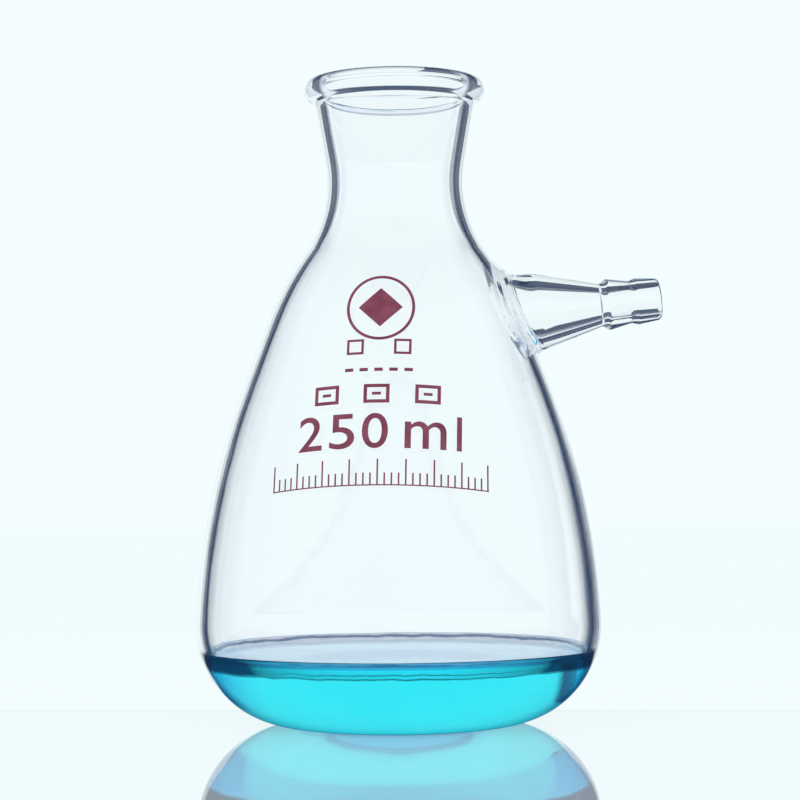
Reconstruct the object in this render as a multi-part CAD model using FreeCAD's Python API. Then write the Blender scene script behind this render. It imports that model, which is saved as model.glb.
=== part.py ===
import FreeCAD, Part
import math
import os

# Filter flask of 250 ml with a conical body and a side arm for a vacuum hose.
# All lengths are in millimetres and all angles in degrees.
# +Z is up along the flask's axis, the origin is on that axis in the plane of the foot,
# and the side arm points along +X.

# Body: a rounded heel, a long bowed flank, a short straight cone and a rounded shoulder
body_diameter = 85.6
heel_radius = 21.0
heel_overrun = 2.7
flank_radius = 162.0
cone_angle = 20.9
cone_length = 14.0
shoulder_radius = 66.7

# Neck: narrowest at the throat, and flared from there to take a rubber stopper
throat_diameter = 28.9
throat_radius = 24.4
neck_taper = 9.8
neck_length = 22.1

# Beaded rim, rolled outwards and fire-polished
bead_radius = 2.5
bead_flare = 65.0
bead_root_radius = 1.7
lip_radius = 1.1

# Glass thickness, and the base with its foot ring and shallow push-up
wall = 2.2
base_thickness = 3.0
foot_width = 1.6
push_up = 1.0

# Side arm: a tapered tube, welded on, that ends in two hose barbs
arm_height = 83.8
arm_rise_angle = 5.8
arm_reach = 56.5
arm_root_diameter = 16.8
arm_root_clearance = 2.15
arm_flare_depth = 2.05
arm_flare_angle = 31.0
barb_length = 6.2
barb_rise = 1.35
last_barb_to_end = 5.1
first_barb_diameter = 11.0
first_root_diameter = 9.0
second_barb_diameter = 9.9
second_root_diameter = 9.0
nozzle_end_diameter = 8.8
nozzle_bore = 5.9
bore_taper = 10.1

# Rounding of the arm, which is all flame-worked
barb_crest_rounding = 0.5
barb_root_rounding = 0.9
arm_root_rounding = 4.0
arm_flare_rounding = 6.0
nozzle_end_rounding = 1.0
nozzle_lip_rounding = 0.35
bore_throat_rounding = 4.0
weld_radius = 1.5
inner_weld_radius = 1.0

# Liquid standing in the flask, which climbs the wall a little at its edge
liquid_level = 14.8
meniscus_width = 2.2
meniscus_height = 1.4

Z_AXIS = FreeCAD.Vector(0, 0, 1)
ORIGIN = FreeCAD.Vector(0, 0, 0)


def sin(angle):
    return math.sin(math.radians(angle))


def cos(angle):
    return math.cos(math.radians(angle))


def tan(angle):
    return math.tan(math.radians(angle))


class Outline:
    """A half section drawn in the X-Z plane as lines and arcs that run smoothly into each other.

    The heading is the lean from vertical: positive leans towards the axis, 90 points straight at it.
    """

    def __init__(self, radius, height, heading):
        self.radius = radius
        self.height = height
        self.heading = heading
        self.edges = []

    def point(self):
        return FreeCAD.Vector(self.radius, 0, self.height)

    def line(self, length):
        start = self.point()
        self.radius -= length * sin(self.heading)
        self.height += length * cos(self.heading)
        self.edges.append(Part.LineSegment(start, self.point()).toShape())

    def line_to(self, radius, height):
        start = self.point()
        self.radius = radius
        self.height = height
        self.edges.append(Part.LineSegment(start, self.point()).toShape())

    def arc(self, radius, turn):
        """An arc that turns the heading; a positive turn bends the wall over towards the axis."""
        side = math.copysign(radius, turn)
        centre_radius = self.radius - side * cos(self.heading)
        centre_height = self.height - side * sin(self.heading)

        def on_arc(heading):
            return FreeCAD.Vector(centre_radius + side * cos(heading), 0, centre_height + side * sin(heading))

        start = self.point()
        middle = on_arc(self.heading + turn / 2)
        self.heading += turn
        end = on_arc(self.heading)
        self.radius = end.x
        self.height = end.z
        self.edges.append(Part.Arc(start, middle, end).toShape())

    def dome(self, run, drop):
        """Two equal arcs that bring an outline, level at both ends, down by drop on its way out from the axis."""
        turn = 2 * math.degrees(math.atan2(drop, run))
        radius = (run**2 + drop**2) / (4 * drop)
        self.arc(radius, -turn)
        self.arc(radius, turn)

    def solid(self):
        """The solid of revolution of the outline, closed along the axis."""
        self.line_to(0, self.height)
        first = self.edges[0].Vertexes[0].Point
        closing = Part.LineSegment(self.point(), first).toShape()
        face = Part.Face(Part.Wire(self.edges + [closing]))
        return face.revolve(ORIGIN, Z_AXIS, 360)


def shoulder_steepness():
    """The lean where shoulder and throat meet, which lets the body end in a neck of the throat's width."""
    heel_end = body_diameter / 2 - heel_radius * (1 - cos(heel_overrun))
    cone_start = heel_end - flank_radius * (cos(heel_overrun) - cos(cone_angle))
    cone_end = cone_start - cone_length * sin(cone_angle)
    both_radii = shoulder_radius + throat_radius
    return math.degrees(
        math.acos(
            (throat_diameter / 2 - cone_end + shoulder_radius * cos(cone_angle) + throat_radius) / both_radii
        )
    )


def draw_wall(outline, inset):
    """From the heel to the end of the throat's curve, set in from the outside by inset."""
    steepness = shoulder_steepness()
    outline.arc(heel_radius - inset, 90 + heel_overrun)
    outline.arc(flank_radius - inset, cone_angle - heel_overrun)
    outline.line(cone_length)
    outline.arc(shoulder_radius - inset, steepness - cone_angle)
    outline.arc(throat_radius + inset, -steepness - neck_taper)


def rim_height():
    """The top of the bead, which stands neck_length above the narrowest point of the throat."""
    steepness = shoulder_steepness()
    throat_height = (
        heel_radius * (1 + sin(heel_overrun))
        + flank_radius * (sin(cone_angle) - sin(heel_overrun))
        + cone_length * cos(cone_angle)
        + shoulder_radius * (sin(steepness) - sin(cone_angle))
        + throat_radius * sin(steepness)
    )
    return throat_height + neck_length


def glass_outside():
    """The flask's outer form, solid, without its arm."""
    heel_start = body_diameter / 2 - heel_radius
    outline = Outline(0, push_up, -90)
    outline.dome(heel_start - foot_width, push_up)
    outline.line(foot_width)
    draw_wall(outline, 0)
    bead_root_height = bead_root_radius * (sin(bead_flare) - sin(neck_taper))
    bead_height = bead_radius * (1 + sin(bead_flare))
    outline.line((rim_height() - bead_root_height - bead_height - outline.height) / cos(neck_taper))
    outline.arc(bead_root_radius, neck_taper - bead_flare)
    outline.arc(bead_radius, bead_flare + 90)
    return outline.solid()


def cavity():
    """The space inside body and neck, carried on above the rim so that it cuts the mouth open."""
    heel_start = body_diameter / 2 - heel_radius
    outline = Outline(0, push_up + base_thickness, -90)
    outline.dome(heel_start, push_up + base_thickness - wall)
    draw_wall(outline, wall)
    lip_height = lip_radius * (1 - sin(neck_taper))
    outline.line((rim_height() - lip_height - outline.height) / cos(neck_taper))
    outline.arc(lip_radius, neck_taper - 90)
    outline.line_to(outline.radius, rim_height() + bead_radius)
    return outline.solid()


def radius_at(turned_solid, height):
    """The radius of a solid of revolution at a height."""
    on_surface = turned_solid.slice(Z_AXIS, height)[0].Vertexes[0].Point
    return math.hypot(on_surface.x, on_surface.y)


def rounded_tube_outline(corners):
    """Lines through corners given as (distance along the arm, radius, rounding), each corner rounded off.

    The outline is closed along the arm's axis and revolved about it.
    """
    points = [FreeCAD.Vector(along, 0, radius) for along, radius, _ in corners]
    roundings = [rounding for _, _, rounding in corners]
    edges = []
    reached = points[0]
    for before, corner, after, rounding in zip(points, points[1:], points[2:], roundings[1:]):
        towards = (before - corner).normalize()
        away = (after - corner).normalize()
        half_angle = towards.getAngle(away) / 2
        setback = rounding / math.tan(half_angle)
        start = corner + towards * setback
        end = corner + away * setback
        bisector = (towards + away).normalize()
        middle = corner + bisector * (rounding / math.sin(half_angle) - rounding)
        edges.append(Part.LineSegment(reached, start).toShape())
        edges.append(Part.Arc(start, middle, end).toShape())
        reached = end
    edges.append(Part.LineSegment(reached, points[-1]).toShape())
    first_on_axis = FreeCAD.Vector(points[0].x, 0, 0)
    last_on_axis = FreeCAD.Vector(points[-1].x, 0, 0)
    if points[-1].z > 0:
        edges.append(Part.LineSegment(points[-1], last_on_axis).toShape())
    edges.append(Part.LineSegment(last_on_axis, first_on_axis).toShape())
    edges.append(Part.LineSegment(first_on_axis, points[0]).toShape())
    return Part.Face(Part.Wire(edges)).revolve(ORIGIN, FreeCAD.Vector(1, 0, 0), 360)


def on_the_arm(shape):
    """Lifts a shape made along +X to the arm's height and slope."""
    shape.rotate(ORIGIN, FreeCAD.Vector(0, 1, 0), -arm_rise_angle)
    shape.translate(FreeCAD.Vector(0, 0, arm_height))
    return shape


def arm_start():
    """Where the arm's solids begin inside the flask, short of the axis and clear of the outer wall."""
    return throat_diameter / 2


def nozzle_start():
    """The narrow end of the arm's cone, in front of the first barb."""
    return arm_reach - last_barb_to_end - barb_length - barb_rise


def arm_outside():
    """The arm's outer form: flared at the weld, then a cone and two barbs with steep backs."""
    start = arm_start()
    wall_distance = radius_at(glass_outside(), arm_height)
    flare_end = wall_distance - arm_flare_depth
    first_crest = nozzle_start() + barb_rise
    second_crest = first_crest + barb_length
    root_radius = arm_root_diameter / 2
    corners = [
        (start, root_radius + (flare_end - start) * tan(arm_flare_angle), 0),
        (flare_end, root_radius, arm_flare_rounding),
        (wall_distance + arm_root_clearance, root_radius, arm_root_rounding),
        (nozzle_start(), first_root_diameter / 2, barb_root_rounding),
        (first_crest, first_barb_diameter / 2, barb_crest_rounding),
        (second_crest - barb_rise, second_root_diameter / 2, barb_root_rounding),
        (second_crest, second_barb_diameter / 2, barb_crest_rounding),
        (arm_reach, nozzle_end_diameter / 2, nozzle_end_rounding),
        (arm_reach, 0, 0),
    ]
    return on_the_arm(rounded_tube_outline(corners))


def arm_bore():
    """The passage through the arm, conical behind the barbs and rounded where it leaves the nozzle."""
    start = arm_start()
    past_end = arm_reach + nozzle_lip_rounding
    lip_flare = nozzle_bore / 2 + nozzle_lip_rounding
    cone_radius = nozzle_bore / 2 + (nozzle_start() - start) * tan(bore_taper)
    corners = [
        (start, cone_radius, 0),
        (nozzle_start(), nozzle_bore / 2, bore_throat_rounding),
        (arm_reach - nozzle_lip_rounding / 2, nozzle_bore / 2, nozzle_lip_rounding),
        (past_end, lip_flare, 0),
    ]
    return on_the_arm(rounded_tube_outline(corners))


def weld(body, arm, radius):
    """Joins an arm to a body and rounds the seam, whose edges are the only free curves of the joined form."""
    joined = body.fuse(arm)
    edges = [edge for edge in joined.Edges if not edge.Degenerated]
    seam = [edge for edge in edges if edge.Curve.TypeId == "Part::GeomBSplineCurve"]
    return joined.makeFillet(radius, seam)


def glass_flask():
    """Body, neck, rim and arm as one piece of glass, hollow right through."""
    outside = weld(glass_outside(), arm_outside(), weld_radius)
    inside = weld(cavity(), arm_bore(), inner_weld_radius)
    return outside.cut(inside)


def blue_liquid():
    """What stands in the flask: the cavity below the level, with the edge of its surface drawn up the wall."""
    space = cavity()
    edge_height = liquid_level + meniscus_height
    edge_radius = radius_at(space, edge_height)
    curve_radius = (meniscus_width**2 + meniscus_height**2) / (2 * meniscus_height)
    curve_turn = 2 * math.degrees(math.atan2(meniscus_height, meniscus_width))
    air = Outline(0, liquid_level, -90)
    air.line(edge_radius - meniscus_width)
    air.arc(curve_radius, curve_turn)
    air.line_to(body_diameter / 2, edge_height)
    air.line_to(body_diameter / 2, rim_height() + body_diameter)
    return space.cut(air.solid())


def write(name, shape):
    solid = shape.Solids[0]
    if len(shape.Solids) != 1 or not solid.isValid():
        raise ValueError(name + " is not one sound solid")
    solid.exportStep("parts/" + name + ".step")
    print(name, "volume %.1f mm3" % solid.Volume)


os.makedirs("parts", exist_ok=True)
write("glass_flask", glass_flask())
write("blue_liquid", blue_liquid())
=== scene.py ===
import math

import bmesh
import bpy
import numpy as np
from mathutils import Matrix, Vector


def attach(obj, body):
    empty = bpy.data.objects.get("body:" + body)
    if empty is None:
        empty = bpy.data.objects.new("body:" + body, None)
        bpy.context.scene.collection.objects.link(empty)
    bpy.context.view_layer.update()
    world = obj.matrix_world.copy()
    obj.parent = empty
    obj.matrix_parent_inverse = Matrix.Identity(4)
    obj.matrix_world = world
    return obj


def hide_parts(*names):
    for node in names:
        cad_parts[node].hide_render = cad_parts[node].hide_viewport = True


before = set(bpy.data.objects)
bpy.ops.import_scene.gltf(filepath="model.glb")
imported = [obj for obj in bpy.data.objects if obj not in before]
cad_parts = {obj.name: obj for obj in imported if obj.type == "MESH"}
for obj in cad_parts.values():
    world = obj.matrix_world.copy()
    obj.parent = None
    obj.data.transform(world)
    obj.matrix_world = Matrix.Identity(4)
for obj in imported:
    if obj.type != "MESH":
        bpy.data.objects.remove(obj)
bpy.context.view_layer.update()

# The camera stands half a metre in front of the flask, a little below half its height.
# It looks up very slightly, and it is rolled by the small lean that the flask shows.
camera_data = bpy.data.cameras.new("camera")
camera_data.sensor_width = 36.0
camera_data.angle = math.radians(19.7)
camera_data.clip_start = 0.01
camera_data.clip_end = 20.0
camera = bpy.data.objects.new("camera", camera_data)
bpy.context.scene.collection.objects.link(camera)
camera.location = (0.00055, -0.490, 0.0548)
camera.rotation_euler = (math.radians(90 + 1.59), math.radians(0.48), 0)
bpy.context.scene.camera = camera


# Glass flask: one piece of clear borosilicate glass, blown in a mould and fire-polished.
# The heel, flank, cone, shoulder and throat are one run of tangent curves. The rim is rolled
# out to a bead, and a drawn tube is welded to the shoulder as the hose arm.
BODY_RADIUS = 42.8
HEEL_RADIUS = 21.0
HEEL_OVERRUN = 2.7
FLANK_RADIUS = 162.0
CONE_ANGLE = 20.9
CONE_LENGTH = 14.0
SHOULDER_RADIUS = 66.7
THROAT_HALF_WIDTH = 14.45
THROAT_RADIUS = 24.4
NECK_TAPER = 9.8
NECK_LENGTH = 22.1
BEAD_RADIUS = 2.5
BEAD_FLARE = 65.0
BEAD_ROOT_RADIUS = 1.7
LIP_RADIUS = 1.1
WALL = 2.2
BASE_THICKNESS = 3.0
FOOT_WIDTH = 1.6
PUSH_UP = 1.0
STEPS_AROUND = 192


class Outline:
    """Points of a half section that runs on in tangent lines and arcs, in millimetres."""

    def __init__(self, radius, height, heading):
        self.points = [(radius, height)]
        self.heading = heading

    def line(self, length, steps):
        """A straight run along the heading."""
        radius, height = self.points[-1]
        lean = math.radians(self.heading)
        for step in range(1, steps + 1):
            run = length * step / steps
            self.points.append((radius - run * math.sin(lean), height + run * math.cos(lean)))

    def arc(self, bend, turn, steps):
        """A round run of a given radius. A positive turn bends it towards the axis."""
        radius, height = self.points[-1]
        side = math.copysign(bend, turn)
        lean = math.radians(self.heading)
        centre = (radius - side * math.cos(lean), height - side * math.sin(lean))
        for step in range(1, steps + 1):
            lean = math.radians(self.heading + turn * step / steps)
            self.points.append((centre[0] + side * math.cos(lean), centre[1] + side * math.sin(lean)))
        self.heading += turn

    def dome(self, run, drop, steps):
        """A run outwards that sinks by a drop in two arcs and ends level."""
        turn = 2 * math.degrees(math.atan2(drop, run))
        bend = (run**2 + drop**2) / (4 * drop)
        self.arc(bend, -turn, steps)
        self.arc(bend, turn, steps)


def shoulder_steepness():
    """The lean, in degrees, at which the shoulder's arc goes over into the throat's."""
    heel_end = BODY_RADIUS - HEEL_RADIUS * (1 - math.cos(math.radians(HEEL_OVERRUN)))
    cone = math.radians(CONE_ANGLE)
    cone_start = heel_end - FLANK_RADIUS * (math.cos(math.radians(HEEL_OVERRUN)) - math.cos(cone))
    cone_end = cone_start - CONE_LENGTH * math.sin(cone)
    reach = THROAT_HALF_WIDTH - cone_end + SHOULDER_RADIUS * math.cos(cone) + THROAT_RADIUS
    return math.degrees(math.acos(reach / (SHOULDER_RADIUS + THROAT_RADIUS)))


def wall_outline(outline, inset):
    """Heel, flank, cone, shoulder and throat, moved inwards from the outer face by an inset."""
    steepness = shoulder_steepness()
    outline.arc(HEEL_RADIUS - inset, 90 + HEEL_OVERRUN, 36)
    outline.arc(FLANK_RADIUS - inset, CONE_ANGLE - HEEL_OVERRUN, 30)
    outline.line(CONE_LENGTH, 10)
    outline.arc(SHOULDER_RADIUS - inset, steepness - CONE_ANGLE, 14)
    outline.arc(THROAT_RADIUS + inset, -steepness - NECK_TAPER, 22)


def sine(angle):
    """The sine of an angle in degrees."""
    return math.sin(math.radians(angle))


steepness = shoulder_steepness()
rim_height = (
    HEEL_RADIUS * (1 + sine(HEEL_OVERRUN))
    + FLANK_RADIUS * (sine(CONE_ANGLE) - sine(HEEL_OVERRUN))
    + CONE_LENGTH * math.cos(math.radians(CONE_ANGLE))
    + SHOULDER_RADIUS * (sine(steepness) - sine(CONE_ANGLE))
    + THROAT_RADIUS * sine(steepness)
    + NECK_LENGTH
)
neck_slope = math.cos(math.radians(NECK_TAPER))

outer = Outline(0, PUSH_UP, -90)
outer.dome(BODY_RADIUS - HEEL_RADIUS - FOOT_WIDTH, PUSH_UP, 8)
outer.line(FOOT_WIDTH, 2)
wall_outline(outer, 0)
bead_root_rise = BEAD_ROOT_RADIUS * (sine(BEAD_FLARE) - sine(NECK_TAPER))
bead_rise = BEAD_RADIUS * (1 + sine(BEAD_FLARE))
outer.line((rim_height - bead_root_rise - bead_rise - outer.points[-1][1]) / neck_slope, 12)
outer.arc(BEAD_ROOT_RADIUS, NECK_TAPER - BEAD_FLARE, 6)
outer.arc(BEAD_RADIUS, BEAD_FLARE + 90, 22)

inner = Outline(0, PUSH_UP + BASE_THICKNESS, -90)
inner.dome(BODY_RADIUS - HEEL_RADIUS, PUSH_UP + BASE_THICKNESS - WALL, 8)
wall_outline(inner, WALL)
lip_rise = LIP_RADIUS * (1 - sine(NECK_TAPER))
inner.line((rim_height - lip_rise - inner.points[-1][1]) / neck_slope, 14)
inner.arc(LIP_RADIUS, NECK_TAPER - 90, 10)
outer.points[-1] = inner.points[-1]

# Side arm: the drawn tube, with its flare at the weld and the two hose barbs.
ARM_HEIGHT = 83.8
ARM_RISE = 5.8
ARM_REACH = 56.5
ARM_ROOT_RADIUS = 8.4
ARM_ROOT_DISTANCE = 30.0
ARM_FLARE_DISTANCE = 25.8
ARM_FLARE_ANGLE = 31.0
BARB_LENGTH = 6.2
BARB_RISE = 1.35
LAST_BARB_TO_END = 5.1
FIRST_BARB_RADIUS = 5.5
SECOND_BARB_RADIUS = 4.95
BARB_ROOT_RADIUS = 4.5
NOZZLE_END_RADIUS = 4.4
BORE_RADIUS = 2.95
BORE_TAPER = 10.1
NOZZLE_LIP = 0.35
WELD_RADIUS = 1.5
INNER_WELD_RADIUS = 1.0
ARM_STEPS_AROUND = 96
DEGREES_A_STEP = 8


def rounded_corners(corners, spacing):
    """Points along the lines through corners given as (distance, radius, rounding), rounded off."""
    points = [np.array(corner[:2], float) for corner in corners]
    turns = [points[0]]
    for before, corner, after, given in zip(points, points[1:], points[2:], corners[1:]):
        towards = (before - corner) / np.linalg.norm(before - corner)
        away = (after - corner) / np.linalg.norm(after - corner)
        half_angle = math.acos(float(towards @ away)) / 2
        middle_way = (towards + away) / np.linalg.norm(towards + away)
        centre = corner + middle_way * given[2] / math.sin(half_angle)
        start = corner + towards * given[2] / math.tan(half_angle) - centre
        end = corner + away * given[2] / math.tan(half_angle) - centre
        first = math.atan2(start[1], start[0])
        turn = (math.atan2(end[1], end[0]) - first + math.pi) % (2 * math.pi) - math.pi
        steps = max(4, round(abs(math.degrees(turn)) / DEGREES_A_STEP))
        for step in range(steps + 1):
            angle = first + turn * step / steps
            turns.append(centre + given[2] * np.array([math.cos(angle), math.sin(angle)]))
    turns.append(points[-1])
    rows = [turns[0]]
    for row in turns[1:]:
        start = rows[-1]
        pieces = max(1, round(np.linalg.norm(row - start) / spacing))
        for piece in range(1, pieces + 1):
            rows.append(start + (row - start) * piece / pieces)
    return [(float(along), float(radius)) for along, radius in rows]


nozzle_start = ARM_REACH - LAST_BARB_TO_END - BARB_LENGTH - BARB_RISE
arm_start = THROAT_HALF_WIDTH
first_crest = nozzle_start + BARB_RISE
second_crest = first_crest + BARB_LENGTH
flare = math.tan(math.radians(ARM_FLARE_ANGLE))
bore_slope = math.tan(math.radians(BORE_TAPER))
mouth_edge = BORE_RADIUS + NOZZLE_LIP / 3
arm_outer = rounded_corners(
    [
        (arm_start, ARM_ROOT_RADIUS + (ARM_FLARE_DISTANCE - arm_start) * flare, 0),
        (ARM_FLARE_DISTANCE, ARM_ROOT_RADIUS, 6.0),
        (ARM_ROOT_DISTANCE, ARM_ROOT_RADIUS, 4.0),
        (nozzle_start, BARB_ROOT_RADIUS, 0.9),
        (first_crest, FIRST_BARB_RADIUS, 0.5),
        (second_crest - BARB_RISE, BARB_ROOT_RADIUS, 0.9),
        (second_crest, SECOND_BARB_RADIUS, 0.5),
        (ARM_REACH, NOZZLE_END_RADIUS, 1.0),
        (ARM_REACH, mouth_edge, 0),
    ],
    0.6,
)
arm_inner = rounded_corners(
    [
        (arm_start, BORE_RADIUS + (nozzle_start - arm_start) * bore_slope, 0),
        (nozzle_start, BORE_RADIUS, 4.0),
        (ARM_REACH - NOZZLE_LIP / 2, BORE_RADIUS, NOZZLE_LIP),
        (ARM_REACH, mouth_edge, 0),
    ],
    0.7,
)


def turned_tree():
    """A node tree that turns a half section, a run of points in the X-Z plane, round the Z axis."""
    tree = bpy.data.node_groups.new("turned glass", "GeometryNodeTree")
    tree.interface.new_socket("Section", in_out="INPUT", socket_type="NodeSocketGeometry")
    around = tree.interface.new_socket("Steps Around", in_out="INPUT", socket_type="NodeSocketInt")
    around.default_value = STEPS_AROUND
    tree.interface.new_socket("Glass", in_out="INPUT", socket_type="NodeSocketMaterial")
    tree.interface.new_socket("Turned", in_out="OUTPUT", socket_type="NodeSocketGeometry")
    nodes = tree.nodes
    link = tree.links.new

    def node(kind, **settings):
        made = nodes.new(kind)
        for name, value in settings.items():
            setattr(made, name, value)
        return made

    def maths(operation, first, second):
        made = node("ShaderNodeMath", operation=operation)
        for socket, value in zip(made.inputs, (first, second)):
            if isinstance(value, (int, float)):
                socket.default_value = value
            elif value is not None:
                link(value, socket)
        return made.outputs[0]

    given = node("NodeGroupInput")
    size = node("GeometryNodeAttributeDomainSize", component="MESH")
    link(given.outputs["Section"], size.inputs[0])
    sheet = node("GeometryNodeMeshGrid")
    sheet.inputs["Size X"].default_value = 1.0
    sheet.inputs["Size Y"].default_value = 1.0
    link(maths("ADD", given.outputs["Steps Around"], 1), sheet.inputs["Vertices X"])
    link(size.outputs["Point Count"], sheet.inputs["Vertices Y"])
    place = node("ShaderNodeSeparateXYZ")
    link(node("GeometryNodeInputPosition").outputs[0], place.inputs[0])
    turn = maths("MULTIPLY", maths("ADD", place.outputs["X"], 0.5), 2 * math.pi)
    last = maths("SUBTRACT", size.outputs["Point Count"], 1)
    row = maths("ROUND", maths("MULTIPLY", maths("ADD", place.outputs["Y"], 0.5), last), None)
    pick = node("GeometryNodeSampleIndex", data_type="FLOAT_VECTOR")
    link(given.outputs["Section"], pick.inputs["Geometry"])
    link(node("GeometryNodeInputPosition").outputs[0], pick.inputs["Value"])
    link(row, pick.inputs["Index"])
    section = node("ShaderNodeSeparateXYZ")
    link(pick.outputs[0], section.inputs[0])
    turned = node("ShaderNodeCombineXYZ")
    link(maths("MULTIPLY", section.outputs["X"], maths("COSINE", turn, None)), turned.inputs["X"])
    link(maths("MULTIPLY", section.outputs["X"], maths("SINE", turn, None)), turned.inputs["Y"])
    link(section.outputs["Z"], turned.inputs["Z"])
    bend = node("GeometryNodeSetPosition")
    link(sheet.outputs["Mesh"], bend.inputs["Geometry"])
    link(turned.outputs[0], bend.inputs["Position"])
    close = node("GeometryNodeMergeByDistance")
    close.inputs["Distance"].default_value = 0.000001
    link(bend.outputs[0], close.inputs["Geometry"])
    realise = node("GeometryNodeRealizeInstances")
    link(close.outputs[0], realise.inputs[0])
    finish = node("GeometryNodeSetMaterial")
    link(realise.outputs[0], finish.inputs["Geometry"])
    link(given.outputs["Glass"], finish.inputs["Material"])
    link(finish.outputs[0], node("NodeGroupOutput").inputs[0])
    return tree


turning = turned_tree()


def turned(name, points, steps, material):
    """A closed form turned from points given as (radius, height) in millimetres, as a plain mesh."""
    section = bpy.data.meshes.new(name + "_section")
    verts = [(radius / 1000, 0, height / 1000) for radius, height in points]
    section.from_pydata(verts, [(i, i + 1) for i in range(len(verts) - 1)], [])
    holder = bpy.data.objects.new(name, section)
    bpy.context.scene.collection.objects.link(holder)
    modifier = holder.modifiers.new("turning", "NODES")
    modifier.node_group = turning
    for socket in turning.interface.items_tree:
        if socket.name == "Steps Around":
            modifier[socket.identifier] = steps
        if socket.name == "Glass":
            modifier[socket.identifier] = material
    bpy.context.view_layer.update()
    graph = bpy.context.evaluated_depsgraph_get()
    mesh = bpy.data.meshes.new_from_object(holder.evaluated_get(graph))
    bpy.data.objects.remove(holder)
    mesh.name = name
    mesh.polygons.foreach_set("use_smooth", [True] * len(mesh.polygons))
    return mesh


def along_arm(mesh):
    """Lays a form turned about the Z axis along the arm's own axis, at its height and slope."""
    lean = Matrix.Rotation(math.radians(90 - ARM_RISE), 4, "Y")
    mesh.transform(Matrix.Translation((0, 0, ARM_HEIGHT / 1000)) @ lean)
    return mesh


def off_section(section, radius, height):
    """Signed distance of points, given by radius and height, from a half section, positive outside."""
    line = np.array(section)
    run = np.diff(line, axis=0)
    across = np.stack([run[:, 1], -run[:, 0]], axis=1)
    across /= np.linalg.norm(across, axis=1)[:, None]
    corner = np.vstack([across[:1], across[:-1] + across[1:], across[-1:]])
    corner /= np.linalg.norm(corner, axis=1)[:, None]
    spot = np.stack([radius, height], axis=1)[:, None, :] - line[:-1]
    share = np.clip((spot * run).sum(2) / (run * run).sum(1), 0, 1)
    gap = spot - share[..., None] * run
    nearest = np.argmin((gap * gap).sum(2), axis=1)
    rows = np.arange(len(radius))
    part = share[rows, nearest][:, None]
    facing = corner[nearest] * (1 - part) + corner[nearest + 1] * part
    facing /= np.linalg.norm(facing, axis=1)[:, None]
    return (gap[rows, nearest] * facing).sum(1)


def off_both(points, body_section, arm_section, weld):
    """Signed distance from body and arm together, with the weld's hollow between them rounded."""
    from_body = off_section(body_section, np.hypot(points[:, 0], points[:, 1]), points[:, 2])
    rise = math.radians(ARM_RISE)
    level = points[:, 2] - ARM_HEIGHT
    along = points[:, 0] * math.cos(rise) + level * math.sin(rise)
    up = level * math.cos(rise) - points[:, 0] * math.sin(rise)
    from_arm = off_section([(r, x) for x, r in arm_section], np.hypot(points[:, 1], up), along)
    from_arm = np.where(along < arm_start + weld, BODY_RADIUS, from_arm)
    near = np.hypot(np.maximum(weld - from_body, 0), np.maximum(weld - from_arm, 0))
    return np.maximum(weld, np.minimum(from_body, from_arm)) - near, from_body, from_arm


def steepest(points, body_section, arm_section, weld):
    """The direction in which the distance from the welded form grows fastest."""
    step = 0.02
    slopes = []
    for axis in range(3):
        shift = np.zeros(3)
        shift[axis] = step
        ahead = off_both(points + shift, body_section, arm_section, weld)[0]
        behind = off_both(points - shift, body_section, arm_section, weld)[0]
        slopes.append((ahead - behind) / (2 * step))
    return np.stack(slopes, axis=1)


CAP_SIDES = 60
JOIN_GAP = 0.00002
LONGEST_SEAM_EDGE = 0.0003
SEAM_FINE = 1.1
SEAM_MOVED = 1.3


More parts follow.
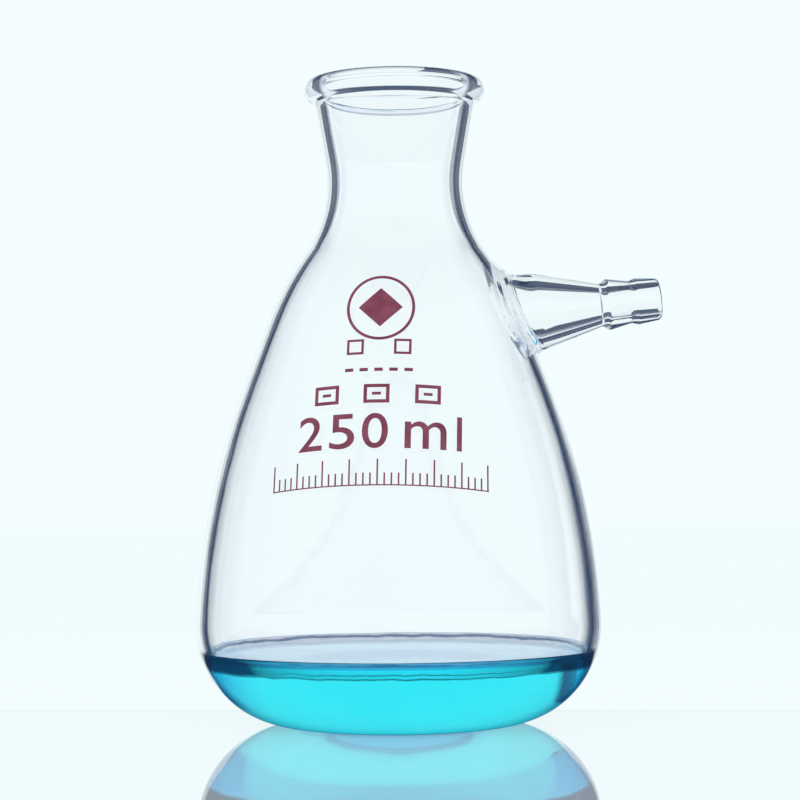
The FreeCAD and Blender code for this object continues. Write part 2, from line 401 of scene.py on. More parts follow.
def welded(name, body_outline, arm_outline, weld):
    """Body and arm as one open skin, with the seam between them rounded, and a normal for each point."""
    arm_turned = [(r, x) for x, r in arm_outline]
    arm_form = turned(name, arm_turned, ARM_STEPS_AROUND, None)
    forms = [turned(name, body_outline, STEPS_AROUND, None), along_arm(arm_form)]
    holders = []
    for mesh in forms:
        form = bmesh.new()
        form.from_mesh(mesh)
        bmesh.ops.holes_fill(form, edges=form.edges, sides=0)
        bmesh.ops.recalc_face_normals(form, faces=form.faces)
        form.to_mesh(mesh)
        form.free()
        holder = bpy.data.objects.new(name, mesh)
        bpy.context.scene.collection.objects.link(holder)
        holders.append(holder)
    joining = holders[0].modifiers.new("joining", "BOOLEAN")
    joining.operation = "UNION"
    joining.solver = "EXACT"
    joining.object = holders[1]
    graph = bpy.context.evaluated_depsgraph_get()
    skin = bpy.data.meshes.new_from_object(holders[0].evaluated_get(graph))
    for holder in holders:
        bpy.data.objects.remove(holder)
    form = bmesh.new()
    form.from_mesh(skin)
    caps = [face for face in form.faces if len(face.verts) > CAP_SIDES]
    bmesh.ops.delete(form, geom=caps, context="FACES_ONLY")
    bmesh.ops.remove_doubles(form, verts=form.verts, dist=JOIN_GAP)
    for _ in range(2):
        spots = np.array([vert.co for vert in form.verts]) * 1000
        _, from_body, from_arm = off_both(spots, body_outline, arm_outline, weld)
        close = np.maximum(from_body, from_arm) < weld * SEAM_FINE
        form.verts.ensure_lookup_table()
        wide = [
            edge
            for edge in form.edges
            if all(close[end.index] for end in edge.verts) and edge.calc_length() > LONGEST_SEAM_EDGE
        ]
        bmesh.ops.subdivide_edges(form, edges=wide, cuts=1)
        bmesh.ops.triangulate(form, faces=[face for face in form.faces if len(face.verts) > 4])
        form.verts.index_update()
    form.to_mesh(skin)
    form.free()
    spots = np.array([vert.co for vert in skin.vertices]) * 1000
    _, from_body, from_arm = off_both(spots, body_outline, arm_outline, weld)
    close = np.maximum(from_body, from_arm) < weld * SEAM_MOVED
    moved = spots[close]
    for _ in range(4):
        distance = off_both(moved, body_outline, arm_outline, weld)[0]
        slope = steepest(moved, body_outline, arm_outline, weld)
        moved = moved - distance[:, None] * slope / (slope * slope).sum(1)[:, None]
    spots[close] = moved
    skin.vertices.foreach_set("co", (spots / 1000).astype(np.float32).ravel())
    skin.update()
    facing = np.array([normal.vector for normal in skin.vertex_normals])
    slope = steepest(moved, body_outline, arm_outline, weld)
    facing[close] = slope / np.linalg.norm(slope, axis=1)[:, None]
    return skin, facing


outside, outside_facing = welded("outside", outer.points, arm_outer, WELD_RADIUS)
inside, inside_facing = welded("inside", inner.points, arm_inner, INNER_WELD_RADIUS)
inside.flip_normals()


def ramp(value, low, high, first, last):
    """A value carried over from the range low to high into the range first to last."""
    made = nodes.new("ShaderNodeMapRange")
    made.inputs["From Min"].default_value = low
    made.inputs["From Max"].default_value = high
    made.inputs["To Min"].default_value = first
    made.inputs["To Max"].default_value = last
    links.new(value, made.inputs["Value"])
    return made.outputs["Result"]


def maths(operation, first, second):
    """One step of arithmetic on two values, each a number or another node's output."""
    made = nodes.new("ShaderNodeMath")
    made.operation = operation
    for socket, value in zip(made.inputs, (first, second)):
        if isinstance(value, (int, float)):
            socket.default_value = value
        else:
            links.new(value, socket)
    return made.outputs[0]


def tinted(factor, first, second):
    """One colour that goes over into another by a factor."""
    made = nodes.new("ShaderNodeMix")
    made.data_type = "RGBA"
    links.new(factor, made.inputs["Factor"])
    for name, value in (("A", first), ("B", second)):
        if isinstance(value, tuple):
            made.inputs[name].default_value = value
        else:
            links.new(value, made.inputs[name])
    return made.outputs["Result"]


def glowing(factor, surface, colour):
    """A surface with a plain glow mixed over it by a factor."""
    glow = nodes.new("ShaderNodeEmission")
    if isinstance(colour, tuple):
        glow.inputs["Color"].default_value = colour
    else:
        links.new(colour, glow.inputs["Color"])
    mixed = nodes.new("ShaderNodeMixShader")
    links.new(factor, mixed.inputs[0])
    links.new(surface, mixed.inputs[1])
    links.new(glow.outputs[0], mixed.inputs[2])
    return mixed.outputs[0]


def long_chain():
    """One where light has run on between glass faces for longer than a render follows it."""
    chain = nodes.new("ShaderNodeLightPath")
    painted_mirror_glow = maths("GREATER_THAN", chain.outputs["Glossy Depth"], 3.5)
    return maths("MAXIMUM", painted_mirror_glow, maths("GREATER_THAN", chain.outputs["Ray Depth"], 10.5))


glass = bpy.data.materials.new("clear borosilicate glass")
glass.use_nodes = True
nodes = glass.node_tree.nodes
links = glass.node_tree.links
shader = nodes["Principled BSDF"]
shader.inputs["Roughness"].default_value = 0.0
shader.inputs["IOR"].default_value = 1.473
shader.inputs["Transmission Weight"].default_value = 1.0
place = nodes.new("ShaderNodeTexCoord")
ripple = nodes.new("ShaderNodeTexNoise")
ripple.inputs["Scale"].default_value = 90.0
ripple.inputs["Detail"].default_value = 1.0
links.new(place.outputs["Object"], ripple.inputs["Vector"])
bump = nodes.new("ShaderNodeBump")
bump.inputs["Strength"].default_value = 0.15
bump.inputs["Distance"].default_value = 0.0002
links.new(ripple.outputs["Fac"], bump.inputs["Height"])
links.new(bump.outputs["Normal"], shader.inputs["Normal"])
place_parts = nodes.new("ShaderNodeSeparateXYZ")
links.new(place.outputs["Object"], place_parts.inputs[0])
above_foot = place_parts.outputs["Z"]
towards_nozzle = place_parts.outputs["X"]

# Painted shade: where the glass is seen aslant, its colour is painted darker along the outline,
# for the dark studio that the glass bends into view there. It is darkest at the
# thick heel, at the bead round the mouth, and on the arm's cone and barbs.
slant = nodes.new("ShaderNodeLayerWeight")
slant.inputs["Blend"].default_value = 0.5
aslant = slant.outputs["Facing"]
outline_painted_shade = ramp(aslant, 0.82, 0.97, 0, 1)
at_heel = maths("MULTIPLY", ramp(above_foot, 0.001, 0.006, 0, 1), ramp(above_foot, 0.0145, 0.0165, 1, 0))
heel_painted_shade = maths("MULTIPLY", at_heel, ramp(aslant, 0.72, 0.84, 0, 1))
at_bead = ramp(above_foot, 0.1350, 0.1360, 0, 1)
bead_painted_shade = maths("MULTIPLY", at_bead, ramp(aslant, 0.35, 0.65, 0, 1))
at_barbs = ramp(towards_nozzle, 0.0436, 0.0444, 0, 1)
barb_painted_shade = maths("MULTIPLY", at_barbs, ramp(aslant, 0.50, 0.66, 0, 1))
at_cone = ramp(towards_nozzle, 0.034, 0.038, 0, 1)
cone_painted_shade = maths("MULTIPLY", at_cone, ramp(aslant, 0.70, 0.85, 0, 1))
glass_tint_and_painted_shade = tinted(outline_painted_shade, (0.997, 0.998, 1.0, 1), (0.55, 0.66, 0.75, 1))
glass_tint_and_painted_shade = tinted(bead_painted_shade, glass_tint_and_painted_shade, (0.04, 0.07, 0.13, 1))
glass_tint_and_painted_shade = tinted(maths("MAXIMUM", barb_painted_shade, cone_painted_shade), glass_tint_and_painted_shade, (0.08, 0.12, 0.20, 1))
glass_tint_and_painted_shade = tinted(heel_painted_shade, glass_tint_and_painted_shade, (0.03, 0.08, 0.16, 1))
links.new(glass_tint_and_painted_shade, shader.inputs["Base Color"])

# Painted light: where light has run on between the glass faces longer than the render follows it,
# the glass glows instead, with the liquid's blue low down and pale above.
above_liquid = ramp(above_foot, 0.014, 0.019, 0, 1)
painted_caught_glow = tinted(above_liquid, (0.04, 0.42, 0.70, 1), (0.80, 0.90, 0.96, 1))
finish = glowing(long_chain(), shader.outputs[0], painted_caught_glow)
links.new(finish, nodes["Material Output"].inputs["Surface"])

skin = bmesh.new()
skin.from_mesh(outside)
skin.from_mesh(inside)
facing_layer = skin.verts.layers.float_vector.new("facing")
all_facing = np.vstack([outside_facing, -inside_facing])
skin.verts.ensure_lookup_table()
for vert, normal in zip(skin.verts, all_facing):
    vert[facing_layer] = normal
bmesh.ops.remove_doubles(skin, verts=[v for v in skin.verts if v.is_boundary], dist=JOIN_GAP)
flask_mesh = bpy.data.meshes.new("flask")
skin.to_mesh(flask_mesh)
skin.free()
flask_mesh.polygons.foreach_set("use_smooth", [True] * len(flask_mesh.polygons))
facing = np.zeros(len(flask_mesh.vertices) * 3, np.float32)
flask_mesh.attributes["facing"].data.foreach_get("vector", facing)
flask_mesh.attributes.remove(flask_mesh.attributes["facing"])
facing = facing.reshape(-1, 3)
facing /= np.linalg.norm(facing, axis=1)[:, None]
flask_mesh.normals_split_custom_set_from_vertices(facing.tolist())
flask_mesh.materials.append(glass)
flask = bpy.data.objects.new("glass_flask_blown", flask_mesh)
bpy.context.scene.collection.objects.link(flask)
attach(flask, "root")
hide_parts("glass_flask")


# Blue liquid: coloured water standing in the flask. It wets the glass, so its surface climbs
# a little at the wall, and its volume gives the colour.
LIQUID_LEVEL = 14.8
MENISCUS_WIDTH = 2.2
MENISCUS_HEIGHT = 1.4
WETTING = 0.08

edge_height = LIQUID_LEVEL + MENISCUS_HEIGHT
heel_floor = PUSH_UP + BASE_THICKNESS
pool = Outline(0, heel_floor - WETTING, -90)
pool.dome(BODY_RADIUS - HEEL_RADIUS, heel_floor - WALL, 10)
wetted = HEEL_RADIUS - WALL + WETTING
edge_turn = math.degrees(math.asin((edge_height - HEEL_RADIUS) / wetted))
pool.arc(wetted, 90 + edge_turn, 40)
edge_radius = pool.points[-1][0]
surface_bend = (MENISCUS_WIDTH**2 + MENISCUS_HEIGHT**2) / (2 * MENISCUS_HEIGHT)
surface_turn = 2 * math.degrees(math.atan2(MENISCUS_HEIGHT, MENISCUS_WIDTH))
climb = Outline(edge_radius - WETTING - MENISCUS_WIDTH, LIQUID_LEVEL, -90)
climb.arc(surface_bend, surface_turn, 12)
pool_points = pool.points + climb.points[::-1]
level_radius = pool_points[-1][0]
level_steps = 16
pool_points += [
    (level_radius * (1 - step / level_steps), LIQUID_LEVEL) for step in range(1, level_steps + 1)
]

liquid = bpy.data.materials.new("blue coloured water")
liquid.use_nodes = True
nodes = liquid.node_tree.nodes
links = liquid.node_tree.links
shader = nodes["Principled BSDF"]
shader.inputs["Roughness"].default_value = 0.0
shader.inputs["IOR"].default_value = 1.333
shader.inputs["Specular Tint"].default_value = (0.05, 0.80, 1.0, 1)
shader.inputs["Transmission Weight"].default_value = 1.0
spot = nodes.new("ShaderNodeTexCoord")
spot_parts = nodes.new("ShaderNodeSeparateXYZ")
links.new(spot.outputs["Object"], spot_parts.inputs[0])
side = nodes.new("ShaderNodeLayerWeight")
side.inputs["Blend"].default_value = 0.5

# The liquid's edge is a little uneven. Painted shade, for the dark studio that its surface mirrors
# from below: just under the level its wall is painted a deeper blue, dark where it is seen aslant,
# with two thin dark lines where it is seen straight. Heights are in millimetres above the level.
uneven = nodes.new("ShaderNodeTexNoise")
uneven.inputs["Scale"].default_value = 130.0
uneven.inputs["Detail"].default_value = 5.0
links.new(spot.outputs["Object"], uneven.inputs["Vector"])
even_height = maths("MULTIPLY", maths("SUBTRACT", spot_parts.outputs["Z"], LIQUID_LEVEL / 1000), 1000)
height = maths("ADD", even_height, ramp(uneven.outputs["Fac"], 0.3, 0.7, -0.25, 0.25))
way = nodes.new("ShaderNodeLightPath")
first_pass = maths("LESS_THAN", way.outputs["Transmission Depth"], 1.5)
wall_aslant = ramp(side.outputs["Facing"], 0.03, 0.19, 0.0, 1.0)
painted_edge_shade = maths("MULTIPLY", ramp(height, -2.2, -1.6, 0.0, 1.0), wall_aslant)
painted_lower_shade_line = maths("MULTIPLY", ramp(height, -2.1, -1.9, 0.0, 0.92), ramp(height, -1.75, -1.55, 1.0, 0.0))
painted_upper_shade_line = maths("MULTIPLY", ramp(height, -1.3, -1.1, 0.0, 0.85), ramp(height, -0.95, -0.75, 1.0, 0.0))
painted_shade_part = maths("MAXIMUM", painted_edge_shade, maths("MAXIMUM", painted_lower_shade_line, painted_upper_shade_line))
painted_shade_part = maths("MULTIPLY", painted_shade_part, first_pass)
painted_mild_shade = maths("MULTIPLY", ramp(height, -2.0, -1.8, 0.0, 1.0), first_pass)
wall_painted_shade = tinted(painted_mild_shade, (1, 1, 1, 1), (0.55, 0.88, 1.0, 1))
wall_painted_shade = tinted(painted_shade_part, wall_painted_shade, (0.0004, 0.003, 0.013, 1))

# Painted reflection: the still surface is painted a lavender grey and given a pale glow for the bright
# studio it mirrors, with a greyer painted shade towards its far edge. Painted shade: the rim, where the
# liquid climbs the glass, is painted dark.
flat_place = nodes.new("ShaderNodeCombineXYZ")
links.new(spot_parts.outputs["X"], flat_place.inputs["X"])
links.new(spot_parts.outputs["Y"], flat_place.inputs["Y"])
from_centre = nodes.new("ShaderNodeVectorMath")
from_centre.operation = "LENGTH"
links.new(flat_place.outputs[0], from_centre.inputs[0])
outward = maths("MULTIPLY", from_centre.outputs["Value"], 1000)
far_half = ramp(spot_parts.outputs["Y"], 0.0, 0.012, 0.0, 1.0)
far_shade = maths("MULTIPLY", far_half, ramp(outward, 33.0, 38.5, 0.0, 1.0))
painted_rim_shade = maths("MULTIPLY", ramp(height, 0.27, 0.4, 0.0, 1.0), ramp(height, 0.8, 1.1, 1.0, 0.0))
surface_tint_and_painted_shade = tinted(far_shade, (0.80, 0.72, 0.84, 1), (0.28, 0.26, 0.34, 1))
surface_tint_and_painted_shade = tinted(painted_rim_shade, surface_tint_and_painted_shade, (0.03, 0.05, 0.11, 1))
top_side = nodes.new("ShaderNodeAttribute")
top_side.attribute_name = "top_side"
on_top = top_side.outputs["Fac"]
links.new(tinted(on_top, wall_painted_shade, surface_tint_and_painted_shade), shader.inputs["Base Color"])
# Painted reflection: the top glows pale where it is seen from above, less on the dark rim.
from_above = maths("LESS_THAN", way.outputs["Transmission Depth"], 2.5)
painted_mirror_glow = maths("MULTIPLY", maths("MULTIPLY", on_top, from_above), ramp(painted_rim_shade, 0.0, 0.6, 0.42, 0.0))
finish = glowing(painted_mirror_glow, shader.outputs[0], (0.66, 0.74, 0.89, 1))
# Painted light: where light runs on longer than the render follows it, the liquid glows blue.
finish = glowing(long_chain(), finish, (0.08, 0.60, 0.86, 1))
links.new(finish, nodes["Material Output"].inputs["Surface"])
dye = nodes.new("ShaderNodeVolumeAbsorption")
dye.inputs["Color"].default_value = (0.0, 0.974, 1.0, 1)
dye.inputs["Density"].default_value = 60.0
links.new(dye.outputs["Volume"], nodes["Material Output"].inputs["Volume"])

LEVEL_SLACK = 0.01
WALL_SLACK = 0.05
pool_mesh = turned("pool", pool_points, STEPS_AROUND, liquid)
spots = np.array([vert.co for vert in pool_mesh.vertices]) * 1000
off_wall = np.sqrt(np.maximum(wetted**2 - (HEEL_RADIUS - spots[:, 2]) ** 2, 0))
wall_radius = BODY_RADIUS - HEEL_RADIUS + off_wall
free = np.hypot(spots[:, 0], spots[:, 1]) < wall_radius - WALL_SLACK
at_top = (spots[:, 2] > LIQUID_LEVEL - LEVEL_SLACK) & free
surface_mark = pool_mesh.attributes.new("top_side", "FLOAT", "POINT")
surface_mark.data.foreach_set("value", at_top.astype(np.float32))
pool_piece = bpy.data.objects.new("blue_liquid_pool", pool_mesh)
bpy.context.scene.collection.objects.link(pool_piece)
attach(pool_piece, "root")
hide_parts("blue_liquid")


# Print: maroon ceramic enamel, put on as a flat decal and fired, so it lies as a thin raised film
# that follows the flank. The volume is the one thing that it says. The other marks are plain:
# a write-on field, rows of small blocks and a scale.
DECAL_RADIUS = 153.0
DECAL_BEARING = -6.0
DECAL_HEIGHT = 58.0
FILM_UNDERSIDE = 0.01
FILM_TOP = 0.06
FACE_SIZE = 0.7
LETTER_STOUTNESS = 0.005

flank = np.array([point for point in outer.points if 30 < point[1] < 110 and point[0] > 16])
slope_run = np.concatenate([[0], np.cumsum(np.hypot(*np.diff(flank, axis=0).T))])
slope_run -= np.interp(DECAL_HEIGHT, flank[:, 1], slope_run)


def block(left, low, right, high):
    """A filled rectangle of the flat decal, in millimetres."""
    return [[(left, low), (right, low), (right, high), (left, high)]]


def frame_of(left, low, right, high, line):
    """An outlined rectangle, as four bars."""
    bars = block(left, low, right, low + line)
    bars += block(left, high - line, right, high)
    bars += block(left, low + line, left + line, high - line)
    return bars + block(right - line, low + line, right, high - line)


def oval_ring(centre, half_width, half_height, line):
    """An oval outline as a run of short four-sided pieces."""
    steps = 72
    corners = []
    for step in range(steps):
        turns = [2 * math.pi * (step + end) / steps for end in (0, 1)]
        outer_side = [
            (centre[0] + half_width * math.cos(turn), centre[1] + half_height * math.sin(turn))
            for turn in turns
        ]
        inner_width = half_width - line
        inner_height = half_height - line
        inner_side = [
            (centre[0] + inner_width * math.cos(turn), centre[1] + inner_height * math.sin(turn))
            for turn in reversed(turns)
        ]
        corners.append(outer_side + inner_side)
    return corners


def lettering(glyph, left, right, low, high):
    """One character of the built-in letters, stretched to its place in the decal."""
    words = bpy.data.curves.new("letter", "FONT")
    words.body = glyph
    words.resolution_u = 6
    words.offset = LETTER_STOUTNESS
    holder = bpy.data.objects.new("letter", words)
    bpy.context.scene.collection.objects.link(holder)
    bpy.context.view_layer.update()
    flat = bpy.data.meshes.new_from_object(holder.evaluated_get(bpy.context.evaluated_depsgraph_get()))
    bpy.data.objects.remove(holder)
    spots = np.array([vert.co[:2] for vert in flat.vertices])
    least = spots.min(axis=0)
    span = spots.max(axis=0) - least
    placed = (spots - least) / span * (right - left, high - low) + (left, low)
    return [[tuple(placed[index]) for index in face.vertices] for face in flat.polygons]


def fired_on(name, faces, material):
    """The decal's flat faces as a thin closed film on the flank."""
    form = bmesh.new()
    for corners in faces:
        form.faces.new([form.verts.new((s, t, 0)) for s, t in corners])
    bmesh.ops.remove_doubles(form, verts=form.verts, dist=0.001)
    for axis in range(2):
        spots = [vert.co[axis] for vert in form.verts]
        cut = math.ceil(min(spots) / FACE_SIZE) * FACE_SIZE
        while cut < max(spots):
            place = [0, 0, 0]
            place[axis] = cut
            normal = [0, 0, 0]
            normal[axis] = 1
            everything = form.verts[:] + form.edges[:] + form.faces[:]
            bmesh.ops.bisect_plane(form, geom=everything, dist=0.0001, plane_co=place, plane_no=normal)
            cut += FACE_SIZE
    bmesh.ops.recalc_face_normals(form, faces=form.faces)
    for face in form.faces:
        if face.normal.z < 0:
            face.normal_flip()
    raised = bmesh.ops.extrude_face_region(form, geom=form.faces[:])
    for part in raised["geom"]:
        if isinstance(part, bmesh.types.BMVert):
            part.co.z = 1
    for vert in form.verts:
        s, t, upper = vert.co
        reach_out = math.hypot(s, DECAL_RADIUS - t)
        turn = math.atan2(s, DECAL_RADIUS - t)
        run = DECAL_RADIUS - reach_out
        level = float(np.interp(run, slope_run, flank[:, 1]))
        radius = float(np.interp(run, slope_run, flank[:, 0]))
        angle = math.radians(DECAL_BEARING) + reach_out * turn / radius
        off = FILM_TOP if upper > 0.5 else FILM_UNDERSIDE
        below, above = np.interp((run - 1, run + 1), slope_run, flank[:, 0])
        lean = math.atan2(below - above, 2.0)
        radius += off * math.cos(lean)
        level += off * math.sin(lean)
        vert.co = (radius * math.sin(angle) / 1000, -radius * math.cos(angle) / 1000, level / 1000)
    bmesh.ops.recalc_face_normals(form, faces=form.faces)
    film = bpy.data.meshes.new(name)
    form.to_mesh(film)
    form.free()
    film.materials.append(material)
    piece = bpy.data.objects.new(name, film)
    bpy.context.scene.collection.objects.link(piece)
    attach(piece, "root")
    return piece


enamel = bpy.data.materials.new("fired maroon enamel")
enamel.use_nodes = True
nodes = enamel.node_tree.nodes
links = enamel.node_tree.links
shader = nodes["Principled BSDF"]
shader.inputs["Roughness"].default_value = 0.42
place = nodes.new("ShaderNodeTexCoord")
cloud = nodes.new("ShaderNodeTexNoise")
cloud.inputs["Scale"].default_value = 260.0
cloud.inputs["Detail"].default_value = 4.0
links.new(place.outputs["Object"], cloud.inputs["Vector"])
patchy = ramp(cloud.outputs["Fac"], 0.35, 0.65, 0.0, 1.0)
links.new(tinted(patchy, (0.165, 0.018, 0.045, 1), (0.235, 0.045, 0.078, 1)), shader.inputs["Base Color"])
grain = nodes.new("ShaderNodeTexNoise")
grain.inputs["Scale"].default_value = 2600.0
links.new(place.outputs["Object"], grain.inputs["Vector"])
pits = nodes.new("ShaderNodeBump")
pits.inputs["Strength"].default_value = 0.3
pits.inputs["Distance"].default_value = 0.00002
links.new(grain.outputs["Fac"], pits.inputs["Height"])
links.new(pits.outputs["Normal"], shader.inputs["Normal"])

# Places in the flat decal are in millimetres, to the right of its middle line and above the
# foot of the volume's figures.
volume = lettering("2", -16.7, -11.5, 0.0, 7.15)
volume += lettering("5", -9.9, -4.7, -0.05, 7.2)
volume += lettering("0", -3.2, 2.0, -0.05, 7.25)
volume += lettering("m", 5.3, 13.7, 0.0, 5.6)
volume += lettering("l", 15.85, 16.9, 0.0, 7.1)
fired_on("print_volume", volume, enamel)

field = oval_ring((-0.3, 30.2), 7.0, 7.2, 0.6) + [[(-4.8, 30.2), (-0.3, 25.9), (4.2, 30.2), (-0.3, 34.5)]]
fired_on("print_field", field, enamel)

marks = frame_of(-6.9, 19.9, -3.4, 23.2, 0.5) + frame_of(2.7, 19.9, 6.2, 23.2, 0.5)
for left in (-7.1, -4.1, -1.1, 1.9, 4.9):
    marks += block(left, 16.2, left + 1.7, 16.9)
for left in (-13.4, -3.1, 7.2):
    marks += frame_of(left, 9.4, left + 5.2, 13.4, 0.7) + block(left + 1.7, 11.1, left + 3.5, 11.7)
fired_on("print_marks", marks, enamel)

SCALE_LEFT = -22.6
SCALE_WIDTH = 45.0
SCALE_PARTS = 32
SCALE_FOOT = -7.35
scale = block(SCALE_LEFT, -7.6, 22.8, SCALE_FOOT)
for step in range(SCALE_PARTS + 1):
    left = SCALE_LEFT + SCALE_WIDTH * step / SCALE_PARTS
    scale += block(left, SCALE_FOOT, left + 0.32, -2.2 if step % 4 == 0 else -5.0)
fired_on("print_scale", scale, enamel)


# Bench top: a pale polished plate that the flask stands on, with its far edge close behind the
# body. It isn't part of the object. Behind that edge another pale level goes on to the panel.
# Painted light: a blue pool is painted on the plate under the foot, for the light that
# comes through the liquid.
PANEL = (0.90, 0.985, 1.0, 1)
PLATE_HALF = 1.5
PLATE_SINK = 0.00005
PLATE_EDGE = 0.0235
PLATE_SKEW = 0.077

bench_mesh = bpy.data.meshes.new("bench_top")
plate_corners = [(x * PLATE_HALF, y * PLATE_HALF, 0) for x, y in ((-1, -1), (1, -1), (1, 1), (-1, 1))]
bench_mesh.from_pydata(plate_corners, [], [(0, 1, 2, 3)])
bench_top = bpy.data.objects.new("bench_top", bench_mesh)
bench_top.location = (0, 0, -PLATE_SINK)
bpy.context.scene.collection.objects.link(bench_top)
polished = bpy.data.materials.new("pale polished plate")
polished.use_nodes = True
nodes = polished.node_tree.nodes
links = polished.node_tree.links
nodes.clear()
spot = nodes.new("ShaderNodeTexCoord")
spot_parts = nodes.new("ShaderNodeSeparateXYZ")
links.new(spot.outputs["Object"], spot_parts.inputs[0])
backwards = maths("ADD", maths("MULTIPLY", spot_parts.outputs["X"], PLATE_SKEW), spot_parts.outputs["Y"])
beyond = ramp(backwards, PLATE_EDGE - 0.0001, PLATE_EDGE + 0.0001, 0.0, 1.0)
from_edge = maths("ABSOLUTE", maths("SUBTRACT", backwards, PLATE_EDGE), 0.0)
edge_line = ramp(from_edge, 0.0012, 0.0030, 1.0, 0.0)
from_axis = nodes.new("ShaderNodeVectorMath")
from_axis.operation = "LENGTH"
links.new(spot.outputs["Object"], from_axis.inputs[0])
# Painted light: the blue pool round the foot.
painted_blue_light = ramp(from_axis.outputs["Value"], 0.019, 0.024, 1.0, 0.0)
path = nodes.new("ShaderNodeLightPath")
tone = tinted(painted_blue_light, (0.86, 0.95, 0.985, 1), (0.66, 0.84, 0.95, 1))
tone = tinted(edge_line, tone, (0.72, 0.83, 0.91, 1))

# Painted reflection: where the outside of the glass mirrors the plate, the plate is painted dark blue.
off_glass = maths("SUBTRACT", path.outputs["Is Glossy Ray"], path.outputs["Is Transmission Ray"])
tone = tinted(maths("MAXIMUM", off_glass, 0.0), tone, (0.02, 0.12, 0.24, 1))
matt = nodes.new("ShaderNodeBsdfDiffuse")
links.new(tone, matt.inputs["Color"])
glow = nodes.new("ShaderNodeEmission")
links.new(tone, glow.inputs["Color"])
sheet = nodes.new("ShaderNodeMixShader")
sheet.inputs[0].default_value = 0.8
links.new(matt.outputs[0], sheet.inputs[1])
links.new(glow.outputs[0], sheet.inputs[2])

# The polish mirrors more at a shallow look, and less away from the flask. What is seen through
# the liquid or off the glass has none of it.
mirror = nodes.new("ShaderNodeBsdfGlossy")
mirror.inputs["Roughness"].default_value = 0.0
mirror.inputs["Color"].default_value = (1, 1, 1, 1)
gloss = nodes.new("ShaderNodeLayerWeight")
gloss.inputs["Blend"].default_value = 0.5
through_liquid = maths("GREATER_THAN", path.outputs["Transmission Depth"], 5.5)
plain_view = maths("SUBTRACT", 1.0, maths("MAXIMUM", through_liquid, off_glass))
shallow_look = ramp(gloss.outputs["Facing"], 0.40, 0.88, 0.05, 0.72)
shine = maths("MULTIPLY", shallow_look, ramp(from_axis.outputs["Value"], 0.12, 0.30, 1.0, 0.0))
coated = nodes.new("ShaderNodeMixShader")
links.new(maths("MULTIPLY", shine, plain_view), coated.inputs[0])
links.new(sheet.outputs[0], coated.inputs[1])
links.new(mirror.outputs[0], coated.inputs[2])
far_level = nodes.new("ShaderNodeEmission")
links.new(tinted(edge_line, (0.88, 0.972, 0.99, 1), (0.66, 0.76, 0.84, 1)), far_level.inputs["Color"])
far_coated = nodes.new("ShaderNodeMixShader")
links.new(shine, far_coated.inputs[0])
links.new(far_level.outputs[0], far_coated.inputs[1])
links.new(mirror.outputs[0], far_coated.inputs[2])

# What the glass bends down behind the plate meets a bright strip behind the body. On both sides
# of that strip it meets the dark part of the studio.
clear = nodes.new("ShaderNodeBsdfTransparent")
pale = nodes.new("ShaderNodeEmission")
pale.inputs["Color"].default_value = PANEL
slanted = maths("ADD", maths("MULTIPLY", spot_parts.outputs["Y"], 0.4), spot_parts.outputs["X"])
right_of_start = ramp(slanted, -0.042, -0.038, 0, 1)
left_of_end = ramp(spot_parts.outputs["X"], 0.037, 0.039, 1, 0)
pale_strip = maths("MULTIPLY", right_of_start, left_of_end)
below = nodes.new("ShaderNodeMixShader")
links.new(pale_strip, below.inputs[0])
links.new(clear.outputs[0], below.inputs[1])
links.new(pale.outputs[0], below.inputs[2])
far_part = nodes.new("ShaderNodeMixShader")
links.new(path.outputs["Is Camera Ray"], far_part.inputs[0])
links.new(below.outputs[0], far_part.inputs[1])
links.new(far_coated.outputs[0], far_part.inputs[2])
plate = nodes.new("ShaderNodeMixShader")
links.new(beyond, plate.inputs[0])
links.new(coated.outputs[0], plate.inputs[1])
links.new(far_part.outputs[0], plate.inputs[2])
links.new(plate.outputs[0], nodes.new("ShaderNodeOutputMaterial").inputs["Surface"])
bench_mesh.materials.append(polished)


# Background: a bright panel stands behind the flask, with dark cards around it. What the glass
# bends past the panel's edges shows the dark cards, which draws its outline. The rest of the
# studio is plain and a little darker than the panel.
CARD = (0.030, 0.055, 0.115, 1)
ROOM = (0.78, 0.90, 0.98, 1)
TABLE = (0.75, 0.83, 0.90, 1)

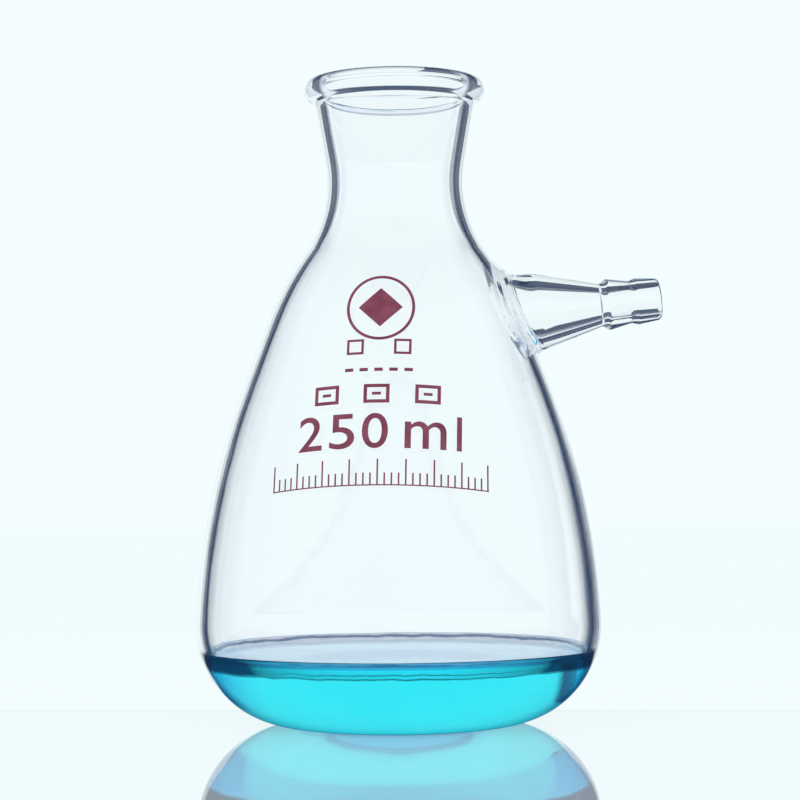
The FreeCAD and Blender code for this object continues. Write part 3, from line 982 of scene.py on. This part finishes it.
world = bpy.data.worlds.new("studio")
bpy.context.scene.world = world
world.use_nodes = True
nodes = world.node_tree.nodes
links = world.node_tree.links
nodes.clear()
look = nodes.new("ShaderNodeTexCoord")
parts = nodes.new("ShaderNodeSeparateXYZ")
links.new(look.outputs["Generated"], parts.inputs[0])
bearing = maths("DEGREES", maths("ARCTAN2", parts.outputs["X"], parts.outputs["Y"]), 0.0)
tilt = maths("DEGREES", maths("ARCSINE", parts.outputs["Z"], 0.0), 0.0)
panel_across = maths("MULTIPLY", ramp(bearing, -28, -25, 0, 1), ramp(bearing, 21, 24, 1, 0))
panel_up = maths("MULTIPLY", ramp(tilt, -10.5, -9, 0, 1), ramp(tilt, 27, 30, 1, 0))
around = tinted(maths("MULTIPLY", panel_across, panel_up), CARD, PANEL)
aside = ramp(maths("ABSOLUTE", bearing, 0.0), 46, 58, 0, 1)
room = tinted(ramp(tilt, 35, 55, 0, 1), ROOM, (0.50, 0.58, 0.66, 1))
around = tinted(aside, around, room)
around = tinted(ramp(tilt, -54, -50, 1, 0), around, TABLE)

# Painted light and shade: for rays that have passed the liquid, the bright panel is painted on further
# round. The ends of the liquid bend the view across, so for its left end a blue card is painted in on
# the right, and for its right end a nearly black one on the left.
path = nodes.new("ShaderNodeLightPath")
through_liquid = maths("GREATER_THAN", path.outputs["Transmission Depth"], 5.5)
painted_blue_card = ramp(bearing, 22, 45, 0, 1)
painted_black_card = maths("MULTIPLY", ramp(bearing, -75, -70, 0, 1), ramp(bearing, -34, -30, 1, 0))
painted_studio_behind_liquid = tinted(painted_blue_card, PANEL, (0.30, 0.60, 0.86, 1))
painted_studio_behind_liquid = tinted(painted_black_card, painted_studio_behind_liquid, (0.005, 0.015, 0.08, 1))
around = tinted(through_liquid, around, painted_studio_behind_liquid)
lit = nodes.new("ShaderNodeBackground")
links.new(around, lit.inputs["Color"])
seen = nodes.new("ShaderNodeBackground")
seen.inputs["Color"].default_value = PANEL
choice = nodes.new("ShaderNodeMixShader")
links.new(path.outputs["Is Camera Ray"], choice.inputs[0])
links.new(lit.outputs[0], choice.inputs[1])
links.new(seen.outputs[0], choice.inputs[2])
links.new(choice.outputs[0], nodes.new("ShaderNodeOutputWorld").inputs["Surface"])


# Studio light: a soft lamp above the camera and to its left, for the print and the plate. The
# glass neither mirrors nor passes it, so no square of light shows in the flask.
lamp_data = bpy.data.lights.new("front_lamp", "AREA")
lamp_data.energy = 6.0
lamp_data.shape = "RECTANGLE"
lamp_data.size = 0.5
lamp_data.size_y = 0.5
lamp = bpy.data.objects.new("front_lamp", lamp_data)
lamp.visible_glossy = False
lamp.visible_transmission = False
lamp.location = (-0.4, -0.9, 0.9)
lamp.rotation_euler = (Vector((0, 0, 0.06)) - lamp.location).to_track_quat("-Z", "Y").to_euler()
bpy.context.scene.collection.objects.link(lamp)

scene = bpy.context.scene
scene.view_settings.view_transform = "Standard"
